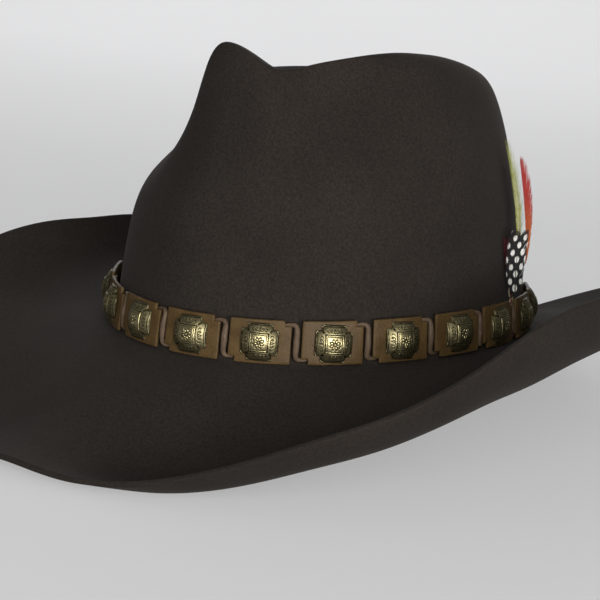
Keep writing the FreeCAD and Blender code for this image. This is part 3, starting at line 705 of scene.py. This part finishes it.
# ------------------------------------------------------------------ feathers
def feather(name, node, tint, *, rise, length, width, foot, tip, bow, quill_x, barbs,
            barb_width, angle, side_widths, taper, ragged, gaps, seed, steps=6,
            shaft_colour=(0.50, 0.44, 0.32)):
    """A shaft from behind the band up through a vane of separate barbs.

    foot, tip and bow are (along the band, outwards); taper is (stretch, start, power) of the
    sine that shapes the vane; gaps is the share of barbs that are cut short.
    """
    rand = random.Random(seed)
    verts, faces, tints = [], [], []
    origin, along, out, up = frame_at(FEATHER_AT)
    turn = math.radians(FEATHER_TURN)
    vane = along * math.cos(turn) + out * math.sin(turn)
    facing = along * -math.sin(turn) + out * math.cos(turn)

    def axis(u):
        arch = 4 * u * (1 - u)
        return (origin + along * (foot[0] + (tip[0] - foot[0]) * u + bow[0] * arch)
                + out * (foot[1] + (tip[1] - foot[1]) * u + bow[1] * arch)
                + up * (rise + length * u))

    for side, side_width in zip((-1, 1), side_widths):
        for k in range(barbs):
            u = min(max((k + rand.uniform(-0.3, 0.3)) / barbs, 0.0), 0.985)
            swell = math.sin(math.pi * min(1.0, u * taper[0] + taper[1])) ** taper[2]
            lean = math.radians(angle + rand.uniform(-3, 3) - 10 * u)
            reach = (width * 0.5 * side_width * swell / math.sin(lean)
                     * (1 + rand.uniform(-ragged, ragged * 0.5)))
            if rand.random() < gaps:
                reach *= rand.uniform(0.5, 0.9)
            reach = min(reach, (1.06 - u) * length / math.cos(lean) + 0.8)
            root = axis(u)
            heading = (axis(min(u + 0.03, 1.0)) - axis(max(u - 0.03, 0.0))).normalized()
            base = len(verts)
            cup = rand.uniform(-0.04, 0.04)
            for j in range(steps + 1):
                f = j / steps
                across = side * math.sin(lean) * reach * f
                ahead = math.cos(lean) * reach * f * (0.80 + 0.24 * f)
                point = (root + vane * (across * (1.04 - 0.06 * f)) + heading * ahead
                         + facing * (0.12 + cup * f + 0.30 * f * f))
                half = barb_width * 0.5 * (1 - 0.72 * f)
                for edge in (-1, 1):
                    verts.append(tuple((point + heading * (edge * half)) * MM))
                    tints.append(tint(across, u * length + ahead, rand))
            for a in range(base, base + 2 * steps, 2):
                faces.append((a, a + 1, a + 3, a + 2))

    # shaft: quill behind the link, a bend to the vane's foot, then a taper to the tip
    quill_out = QUILL_OUT - quill_x ** 2 / 190.0
    path = [origin + along * quill_x + out * quill_out + up * z for z in (7.0, 12.0, 17.0, 19.5)]
    quill_top, vane_foot = path[-1], axis(0.05)
    for f in (0.25, 0.5, 0.75):
        path.append(quill_top * (1 - f) + vane_foot * f + out * (-0.5 * math.sin(math.pi * f)))
    path += [axis(0.05 + 0.95 * k / 22) for k in range(23)]
    count, sides = len(path), 8
    base = len(verts)
    for j, centre in enumerate(path):
        heading = (path[min(j + 1, count - 1)] - path[max(j - 1, 0)]).normalized()
        sideways = heading.cross(facing).normalized()
        radius = 0.33 * (1 - 0.8 * max(0, j - 7) / (count - 8))
        for k in range(sides):
            a = k * math.pi / 4
            verts.append(tuple((centre + sideways * (radius * math.cos(a))
                                + facing * (radius * math.sin(a))) * MM))
            tints.append(shaft_colour)
    faces += grid_faces(count, sides, base)
    faces.append(tuple(range(base, base + sides))[::-1])
    faces.append(tuple(range(len(verts) - sides, len(verts))))
    obj = add_piece(name, (verts, faces), FEATHER, "feathers", node)
    attribute = obj.data.attributes.new("tint", "FLOAT_COLOR", "POINT")
    colours = np.array([(*colour, 1.0) for colour in tints], np.float32)
    attribute.data.foreach_set("color", colours.ravel())


SPOT_PITCH, SPOT_ROW = 4.9, 3.4


def guinea_tint(x, z, _rand):
    """Pale spots in staggered rows, each with its own size and shift, on near black."""
    row = (z + 0.6) / SPOT_ROW
    j = math.floor(row)
    column = x / SPOT_PITCH + (0.5 if j % 2 else 0.0)
    i = math.floor(column)
    vary = math.sin(j * 12.9898 + i * 78.233) * 43758.5453
    vary -= math.floor(vary)
    x_off = (column - i - 0.5 + 0.10 * (vary - 0.5)) * SPOT_PITCH / (0.88 + 0.25 * vary)
    z_off = (row - j - 0.5 + 0.12 * (0.5 - vary)) * SPOT_ROW / (1.30 + 0.45 * vary)
    return (0.80, 0.79, 0.75) if math.hypot(x_off, z_off) < 1 else (0.012, 0.012, 0.013)


def blend_tint(low, high, start, end, vary):
    """Colour from low to high between two heights, its brightness varied at random."""
    def tint(_x, z, rand):
        t = min(1.0, max(0.0, (z - start) / (end - start)))
        shade = 1 + rand.uniform(-vary, vary)
        return tuple((a * (1 - t) + b * t) * shade for a, b in zip(low, high))
    return tint


feather("spotted_feather", "feather_guinea", guinea_tint,
        rise=20.5, length=29.0, width=9.8, foot=(-1.5, 4.4), tip=(-3.6, 8.0), bow=(-0.3, -0.9),
        quill_x=0.6, barbs=210, barb_width=0.62, angle=30, side_widths=(1.0, 0.95),
        taper=(0.80, 0.17, 0.42), ragged=0.05, gaps=0.02, seed=11, steps=24,
        shaft_colour=(0.030, 0.028, 0.026))
feather("red_feather", "feather_red",
        blend_tint((0.42, 0.105, 0.020), (0.34, 0.022, 0.018), 12, 30, 0.12),
        rise=36, length=47.3, width=4.4, foot=(2.3, 8.0), tip=(1.0, 6.3), bow=(0.2, 1.9),
        quill_x=3.8, barbs=200, barb_width=1.05, angle=20, side_widths=(0.55, 1.25),
        taper=(0.97, 0.02, 0.85), ragged=0.03, gaps=0.0, seed=12, steps=8,
        shaft_colour=(0.30, 0.06, 0.02))
feather("green_feather", "feather_green",
        blend_tint((0.29, 0.30, 0.050), (0.33, 0.35, 0.11), 10, 46, 0.35),
        rise=36, length=52.5, width=3.9, foot=(0.6, 4.7), tip=(-0.8, 1.2), bow=(0.2, 2.2),
        quill_x=5.4, barbs=190, barb_width=0.62, angle=13, side_widths=(1.0, 1.0),
        taper=(0.93, 0.06, 0.75), ragged=0.13, gaps=0.08, seed=13)
feather("teal_feather", "feather_teal",
        blend_tint((0.13, 0.22, 0.15), (0.30, 0.40, 0.32), 12, 34, 0.3),
        rise=42, length=38.0, width=6.2, foot=(1.8, 5.2), tip=(1.4, 3.0), bow=(0.0, 1.6),
        quill_x=7.0, barbs=60, barb_width=0.26, angle=20, side_widths=(1.0, 1.0),
        taper=(0.90, 0.06, 0.6), ragged=0.35, gaps=0.35, seed=14)
feather("maroon_feather", "feather_maroon",
        blend_tint((0.075, 0.008, 0.016), (0.10, 0.013, 0.024), 0, 20, 0.3),
        rise=25, length=21.0, width=4.8, foot=(0.2, 1.3), tip=(-0.8, 0.9), bow=(0.0, 0.2),
        quill_x=2.2, barbs=90, barb_width=0.6, angle=20, side_widths=(1.2, 0.9),
        taper=(0.92, 0.06, 0.6), ragged=0.2, gaps=0.10, seed=15)


# ------------------------------------------------------------------ swept cords and ribbons
def smooth_path(points, per_span, closed=False):
    """Smooth curve through the points, with slopes weighted by the chord lengths."""
    pts = np.array([tuple(p) for p in points], float)
    if closed:
        pts = np.concatenate([pts[-1:], pts, pts[:2]])
    else:
        pts = np.concatenate([2 * pts[:1] - pts[1:2], pts, 2 * pts[-1:] - pts[-2:-1]])
    chords = np.diff(pts, axis=0)
    sizes = np.linalg.norm(chords, axis=1)

    def slope(i):
        before, after = sizes[i - 1], sizes[i]
        return (chords[i] / after * before + chords[i - 1] / before * after) / (after + before)

    line = [hermite(k / per_span, pts[i], slope(i) * sizes[i], pts[i + 1],
                    slope(i + 1) * sizes[i])
            for i in range(1, len(pts) - 2) for k in range(per_span)]
    if not closed:
        line.append(pts[-2])
    return np.array(line)


def sweep(line, thick_way, half_thick, half_wide, sides=14, closed=False, power=2.0,
          rough=0.0, seed=0):
    """Skin around a centre line; a power above 2 squares the oval section."""
    count = len(line)
    thick_way = np.broadcast_to(np.array(thick_way, float), line.shape).copy()
    if closed:
        heading = np.roll(line, -1, 0) - np.roll(line, 1, 0)
    else:
        heading = np.gradient(line, axis=0)
    heading /= np.linalg.norm(heading, axis=1)[:, None]
    thick_way -= heading * (thick_way * heading).sum(1)[:, None]
    thick_way /= np.linalg.norm(thick_way, axis=1)[:, None]
    wide_way = np.cross(heading, thick_way)
    angles = 2 * np.pi * np.arange(sides) / sides
    thick, wide = (np.copysign(np.abs(v) ** (2 / power), v)
                   for v in (np.cos(angles), np.sin(angles)))
    uneven = 1 + np.random.default_rng(seed).uniform(-rough, rough, (count, sides))
    thick = np.broadcast_to(half_thick, (count,))[:, None] * thick * uneven
    wide = np.broadcast_to(half_wide, (count,))[:, None] * wide * uneven
    verts = (line[:, None] + thick_way[:, None] * thick[..., None]
             + wide_way[:, None] * wide[..., None]) * MM
    faces = grid_faces(count, sides, closed=closed)
    if not closed:
        faces.append(tuple(range(sides))[::-1])
        faces.append(tuple(range((count - 1) * sides, count * sides)))
    return verts.reshape(-1, 3), faces


def joined(parts):
    faces, base = [], 0
    for part_verts, part_faces in parts:
        faces += [tuple(base + i for i in face) for face in part_faces]
        base += len(part_verts)
    return np.concatenate([part[0] for part in parts]), faces


# ------------------------------------------------------------------ lace, knot and tails
HALF_LINK = LINK_WIDTH / 2
# Lace at one link: along from its centre, out from LACE_OUT, rise above the link's lower
# edge, half thickness, half width. It lies flat behind the link and round in the gap.
LACE_ROWS = [(-HALF_LINK - 1.05, 0.85, 2.3, 0.95, 1.05), (-HALF_LINK + 2.5, 0, 2.2, 0.66, 0.9),
             (-6, 0, 5.8, 0.62, 0.95), (0, 0, 9.5, 0.62, 0.95), (6, 0, 13.2, 0.62, 0.95),
             (HALF_LINK - 2.5, 0, 16.8, 0.66, 0.9), (HALF_LINK + 1.05, 0.85, 16.7, 0.95, 1.05)]
LACE_START = (-HALF_LINK - 7, 1.4, 9.5, 1.0, 1.0)
LACE_END = (HALF_LINK + 7, 1.4, 9.5, 1.0, 1.0)
LACE_GAP = (LINK_PITCH / 2, 1.8, 9.5, 1.25, 1.45)

lace_path, lace_sizes = [], []
for i, link_place in enumerate(LINK_PLACES):
    first = [LACE_START] if i == 0 else []
    last = LACE_GAP if i < LINK_COUNT - 1 else LACE_END
    for along, out_by, rise, half_thick, half_wide in first + LACE_ROWS + [last]:
        place = link_place + along
        lace_path.append(wall_point(place, LACE_OUT + out_by, LINK_FOOT + rise))
        lace_sizes.append((half_thick, half_wide, *frame_at(place)[2]))
line = smooth_path(lace_path, 8)
stations = np.arange(len(lace_path))
along_line = np.linspace(0, len(lace_path) - 1, len(line))
half_thick, half_wide, *outward = (np.interp(along_line, stations, column)
                                   for column in zip(*lace_sizes))
add_piece("laced_thong", sweep(line, np.stack(outward, 1), half_thick, half_wide, 16,
                               rough=0.018, seed=5),
          THONG, "hatband", "lace_thong")

# overhand knot at the back, with the two lace ends running in
lace_ends = (lace_path[-1], lace_path[0])
KNOT = (lace_ends[0] + lace_ends[1]) * 0.5 + Vector((0, 2.6, 0))
knot_loop = []
for k in range(36):
    t = 2 * math.pi * k / 36
    knot_loop.append(KNOT + Vector((0.98 * (math.sin(t) + 2 * math.sin(2 * t)),
                                    -0.95 * math.sin(3 * t),
                                    0.80 * (math.cos(t) - 2 * math.cos(2 * t)))))
parts = [sweep(smooth_path(knot_loop, 5, closed=True), (0, 1, 0), 0.80, 0.92, closed=True,
               rough=0.02, seed=8)]
for end in lace_ends:
    middle = end * 0.5 + KNOT * 0.5 + Vector((0, -0.3, 0.4))
    parts.append(sweep(smooth_path([end, middle, KNOT], 10), (0, 1, 0.2), 0.95, 1.0,
                       rough=0.02, seed=9))
add_piece("thong_knot", joined(parts), THONG, "hatband", "lace_knot")


def brim_top(x, y):
    """Height of the brim's upper surface."""
    brim = profile(math.degrees(math.atan2(y, x)))[len(BRIM_STATIONS) - 1::-1]
    radii, heights = zip(*brim)
    return float(np.interp(math.hypot(x, y), radii, heights))


def tail_shape(side):
    points = [KNOT + Vector((side * 4.4, 2.2, -1.4))]
    for spread, y in ((6.5, 117.0), (8.6, 130.0), (10.2, 144.0), (11.0, 158.0)):
        x = KNOT.x + side * spread
        points.append(Vector((x, y, brim_top(x, y) + 0.9 + 0.75)))
    line = smooth_path(points, 14)
    u = np.linspace(0, 1, len(line))
    line[:, 0] += 0.35 * np.sin(u * 9 + side) * u
    taper = np.where(u > 0.965, 1 - (u - 0.965) / 0.035 * 0.75, 1.0)
    return sweep(line, (0, 0, 1), 0.86 * taper, 0.95 * taper, rough=0.03, seed=20 + side)


for side, word in ((1, "left"), (-1, "right")):
    add_piece("thong_tail_" + word, tail_shape(side), THONG, "tail_" + word,
              "lace_tail_" + word)

# ------------------------------------------------------------------ inside the crown
SWEAT_GAP, SWEAT_THICK, SWEAT_HEIGHT = 0.9, 1.0, 44.0
SWEAT_IN = FELT_THICK + SWEAT_GAP + SWEAT_THICK     # sweatband's inner face, from the wall
LINING_TOP, TIP_Z = 88.0, 90.0


def felt_depth(deg, z):
    """Level distance through the felt, which grows where the wall leans."""
    lean = (wall_radius(deg, z - 1.5) - wall_radius(deg, z + 1.5)) / 3.0
    return FELT_THICK * math.hypot(1.0, lean)


def ring_shape(section, around):
    """Closed ring from section(degrees), a closed list of (radius, height)."""
    verts = []
    for i in range(around):
        deg = i * 360.0 / around
        rows = section(deg)
        verts += [polar(radius * MM, deg, z * MM) for radius, z in rows]
    return verts, grid_faces(around, len(rows), flip=True, closed=True)


def sweat_section(deg):
    """Leather strip: rolled lower edge, two pressed lines, wavy top edge skived thin."""
    t = math.radians(deg)
    foot = break_z(deg)
    front, back = [], []
    top = SWEAT_HEIGHT + 0.22 * math.sin(7 * t + 0.6) + 0.16 * math.sin(17 * t + 2.0)
    for k in range(25):
        f = k / 24.0
        z = foot + 1.2 + (top - 1.2) * f
        above = z - foot
        radius = wall_radius(deg, z) - felt_depth(deg, z) - SWEAT_GAP - 0.10
        thick = SWEAT_THICK * (0.92 if f < 0.9 else 0.92 - 0.42 * (f - 0.9) / 0.1)
        press = (0.22 * math.exp(-((above - 7.6) / 0.35) ** 2)
                 + 0.14 * math.exp(-((above - 41.0) / 0.3) ** 2))
        roll = 0.30 * math.exp(-((above - 2.2) / 1.3) ** 2)
        wave = (0.16 * math.sin(5 * t + 1) + 0.10 * math.sin(23 * t)) * f * f
        back.append((radius - 0.08 * f, z))
        front.append((radius - thick + press - roll * 0.5 - 0.12 + wave * 0.6, z))
    return back + front[::-1]


def reed_section(deg):
    z = break_z(deg) - 0.6
    radius = break_radius(deg) - FELT_THICK - SWEAT_GAP - SWEAT_THICK / 2 - 0.4
    half = 0.84 + 0.05 * math.sin(math.radians(deg) * 180)
    return [(radius + half * math.cos(math.radians(a)), z + half * math.sin(math.radians(a)))
            for a in range(0, 360, 30)]


def stitch_shape(k):
    """One stitch along the sweatband, its ends sinking into the leather."""
    deg = k * 5.0 + 2.5
    z = break_z(deg) + 4.5
    radius = wall_radius(deg, z) - SWEAT_IN - 0.72
    points = [polar(radius + 0.55 * abs(a / 1.05) ** 3, deg + a, z + 0.05 * a)
              for a in (-1.05, -0.8, -0.35, 0, 0.35, 0.8, 1.05)]
    return sweep(smooth_path(points, 2), polar(1, deg, 0), 0.22, 0.27, 8, rough=0.03, seed=k)


add_piece("leather_sweatband", ring_shape(sweat_section, 360), SWEAT_LEATHER, "hat",
          "sweatband")
add_piece("wrapped_reed", ring_shape(reed_section, 900), REED, "hat", "sweatband_reed")
add_piece("thread_stitches", joined([stitch_shape(k) for k in range(72)]), THREAD, "hat",
          "sweatband_stitches")

# Bow at the back, inside the sweatband: x to one side, distance forward of BOW_Y, z.
BOW_Y = wall_radius(90, 8) - SWEAT_IN - 1.0
BOW_LOOP = [(0.6, 1.6, 8.2), (4.5, 0.75, 8.4), (9.5, 0.65, 8.3), (13.2, 1.1, 8.2),
            (14.0, 2.2, 8.1), (12.8, 3.4, 8.1), (8.5, 3.9, 8.2), (4.0, 3.3, 8.3), (0.8, 2.6, 8.2)]
BOW_TAIL = [(1.2, 2.2, 7.6), (3.4, 1.9, 6.9), (6.5, 1.6, 6.3), (9.6, 1.9, 6.25)]


def bow_line(rows, side, per_span):
    return smooth_path([(x * side, BOW_Y - forward, z) for x, forward, z in rows], per_span)


def bow_shape():
    parts = []
    for side in (-1, 1):
        line = bow_line(BOW_LOOP, side, 10)
        half = 0.9 + 1.15 * np.sin(np.pi * np.linspace(0, 1, len(line))) ** 0.6
        parts.append(sweep(line, (0, 0, 1), half, 0.22, 16, power=4.0))
    for side in (-1, 1):
        parts.append(sweep(bow_line(BOW_TAIL, side, 8), (0.25 * side, 0, 1), 0.95, 0.18,
                           power=4.0))
    wrap = [(1.55 * math.cos(a), BOW_Y - 2.1 + 1.25 * math.sin(a), 8.15)
            for a in [2 * math.pi * k / 16 for k in range(16)]]
    parts.append(sweep(smooth_path(wrap, 3, closed=True), (0, 0, 1), 2.0, 0.30, closed=True,
                       power=3.0))
    return joined(parts)


add_piece("ribbon_bow", bow_shape(), RIBBON, "hat", "rear_bow")


def lining_section(deg):
    """Satin wall gathered into fine upright folds that deepen towards the tip."""
    t = math.radians(deg)
    outer, inner = [], []
    drift = 1.7 * math.sin(3 * t) + 1.1 * math.sin(7 * t + 0.5)
    low = SWEAT_HEIGHT + 1.2
    for k in range(19):
        f = k / 18.0
        z = break_z(deg) + low + (LINING_TOP - low) * f
        wall = wall_radius(deg, z)
        # the cloth spans hollows of the wall instead of following them
        eased = (wall_radius(deg, z - 17.0) + 4 * wall + wall_radius(deg, z + 17.0)) / 6.0
        radius = min(wall, eased) - felt_depth(deg, z) - 1.7
        fold = ((0.5 + 0.5 * math.sin(96 * t + drift * (1 + f))) * (0.22 + 0.42 * f)
                + (0.5 + 0.5 * math.sin(41 * t + 2 * drift)) * 0.25)
        outer.append((radius - fold, z))
        inner.append((radius - fold - 0.25, z))
    return outer + inner[::-1]


add_piece("gathered_lining", ring_shape(lining_section, 960), SATIN, "hat",
          "lining_side")

# Lining tip, from rim to centre: share of the rim radius, rise.
TIP_ROWS = [(1.0, 0.0), (0.995, 0.35), (0.985, 0.5), (0.97, 0.35), (0.955, 0.2), (0.93, 0.28),
            (0.88, 0.45), (0.78, 0.62), (0.64, 0.82), (0.48, 1.0), (0.30, 1.12), (0.14, 1.18),
            (0.05, 1.2)]


def tip_shape():
    around, verts, faces = 288, [], []
    rim = [(wall_radius(i * 360.0 / around, TIP_Z + 1.0) - FELT_THICK - 3.0) * 0.995
           for i in range(around)]
    # upper and lower skin: lift, share of the rise, lift of the centre
    for lift, share, centre_lift in ((0.40, 1.0, 0.35), (-0.12, 0.75, -0.25)):
        for f, rise in TIP_ROWS:
            for i in range(around):
                t = 2 * math.pi * i / around
                pucker = 0.10 * math.sin(60 * t + 2 * math.sin(5 * t))
                pull = pucker * max(0.0, f - 0.75) / 0.25 if f < 0.96 else 0.0
                verts.append(polar(rim[i] * f * MM, i * 360.0 / around,
                                   (TIP_Z + lift + rise * share + pull) * MM))
        verts.append((0, 0, (TIP_Z + 1.2 + centre_lift) * MM))
    skin = len(TIP_ROWS) * around + 1
    for base in (0, skin):
        centre = base + skin - 1
        skin_faces = grid_faces(len(TIP_ROWS), around, base) + fan(centre - around, around, centre)
        faces += flipped(skin_faces) if base else skin_faces
    for i in range(around):
        i2 = (i + 1) % around
        faces.append((i, skin + i, skin + i2, i2))
    return verts, faces


add_piece("lining_crown_tip", tip_shape(), SATIN, "hat", "lining_tip")

# ------------------------------------------------------------------ stage, lights and camera (metres)
FLOOR_Z = START_BOX[0][2]
CAMERA_AZIMUTH, CAMERA_ELEVATION, CAMERA_ROLL = 40.0, 12.0, 4.0
CAMERA_DISTANCE, CAMERA_RISE = 1.0424, 0.0024
SENSOR_WIDTH, LENS = 36.0, 132.27           # millimetres
LENS_SHIFT = (-0.0359333, 0.0156833)        # shares of the sensor width
FLOOR_NEAR, FLOOR_FAR, SWEEP_RADIUS, WALL_TOP = -6.0, 1.6, 0.9, 5.0
HALF_BACKDROP = 7
PAPER_GLOW = 0.36                           # seen by the camera only
WORLD_LIGHT, WORLD_GLOW = 0.13, 0.60        # light on the hat; extra seen by the camera


def direction(azimuth, elevation):
    """Unit vector; azimuth runs from the front (-Y) towards +X."""
    turn, lift = math.radians(azimuth), math.radians(elevation)
    return Vector((math.sin(turn) * math.cos(lift), -math.cos(turn) * math.cos(lift),
                   math.sin(lift)))


def backdrop():
    """Pale floor that curves up into a wall, square to the camera."""
    section = [(FLOOR_NEAR, 0.0), (FLOOR_FAR, 0.0)]
    for k in range(1, 13):
        a = k / 12 * math.pi / 2
        section.append((FLOOR_FAR + SWEEP_RADIUS * math.sin(a),
                        SWEEP_RADIUS * (1 - math.cos(a))))
    section.append((FLOOR_FAR + SWEEP_RADIUS, WALL_TOP))
    turn = math.radians(CAMERA_AZIMUTH)
    away = Vector((-math.sin(turn), math.cos(turn), 0))
    across = Vector((math.cos(turn), math.sin(turn), 0))
    verts = [tuple(away * far + across * side + Vector((0, 0, FLOOR_Z + z)))
             for side in (-HALF_BACKDROP, HALF_BACKDROP) for far, z in section]
    count = len(section)
    faces = [(i, i + count, i + count + 1, i + 1) for i in range(count - 1)]
    obj = new_object("studio_floor", new_mesh("studio_floor", verts, faces))
    material, nodes = new_material("studio_paper")
    mottle = nodes.noise(scale=3.0, detail=2, roughness=0.5)
    paper = nodes.ramp(mottle, low_at=0.3, low=(0.49, 0.49, 0.495),
                       high_at=0.7, high=(0.51, 0.51, 0.515))
    seen = nodes.add("LightPath").outputs["Is Camera Ray"]
    nodes.surface(Base_Color=paper, Roughness=0.9, Emission_Color=(1.0, 1.0, 1.005, 1),
                  Emission_Strength=nodes.math("MULTIPLY", seen, PAPER_GLOW))
    obj.data.materials.append(material)


def area_light(name, location, target, size, power, colour=(1, 1, 1)):
    light = bpy.data.lights.new(name, "AREA")
    light.shape = "RECTANGLE"
    light.size, light.size_y = size
    light.energy = power
    light.color = colour
    obj = new_object(name, light)
    obj.location = location
    aim = Vector(target) - Vector(location)
    obj.rotation_euler = aim.to_track_quat("-Z", "Y").to_euler()


backdrop()
# Name, azimuth, elevation, distance, height aimed at, size, watts, colour.
for name, azimuth, elevation, distance, aim_z, size, power, colour in (
        ("key", 36, 19, 2.0, 0.03, (1.4, 1.1), 13.5, (1.0, 0.985, 0.955)),
        ("front", 45, 15, 1.7, 0.02, (0.42, 0.36), 4.4, (1.0, 0.985, 0.96)),
        ("low", 64, 3, 2.2, 0.02, (1.2, 0.5), 29, (1.0, 0.99, 0.98)),
        ("fill_left", -55, 30, 2.4, 0.03, (1.8, 1.6), 0.7, (0.98, 0.99, 1.0)),
        ("rear", 222, 24, 2.3, 0.03, (1.8, 1.3), 11, (0.99, 0.99, 1.0))):
    area_light(name, direction(azimuth, elevation) * distance, (0, 0, aim_z), size, power, colour)
area_light("top", location=(0, 0.3, 2.4), target=(0, 0, 0), size=(2.2, 2.2), power=0.6)
area_light("wall", location=direction(220, 40) * 1.4 + Vector((0, 0, 0.6)),
           target=direction(220, 5) * 2.6 + Vector((0, 0, 0.6)), size=(2.5, 1.2), power=6)

world = bpy.data.worlds.new("studio")
bpy.context.scene.world = world
world.use_nodes = True
nodes = Nodes(world.node_tree)
seen = nodes.add("LightPath").outputs["Is Camera Ray"]
strength = nodes.math("ADD", nodes.math("MULTIPLY", seen, WORLD_GLOW), WORLD_LIGHT)
nodes.put(world.node_tree.nodes["Background"], {0: (0.95, 0.97, 1.0, 1), 1: strength})

lens = bpy.data.cameras.new("camera")
camera = new_object("camera", lens)
turn, roll = math.radians(CAMERA_AZIMUTH), math.radians(CAMERA_ROLL)
back = direction(CAMERA_AZIMUTH, CAMERA_ELEVATION)
right = Vector((math.cos(turn), math.sin(turn), 0))
up = back.cross(right)
camera.matrix_world = axes_matrix(right * math.cos(roll) + up * math.sin(roll),
                                  up * math.cos(roll) - right * math.sin(roll), back,
                                  back * CAMERA_DISTANCE + Vector((0, 0, CAMERA_RISE)))
lens.sensor_width = SENSOR_WIDTH
lens.lens = LENS
lens.shift_x, lens.shift_y = LENS_SHIFT
lens.clip_start, lens.clip_end = 0.05, 50
bpy.context.scene.camera = camera
bpy.context.scene.view_settings.view_transform = "Standard"

bpy.context.view_layer.update()
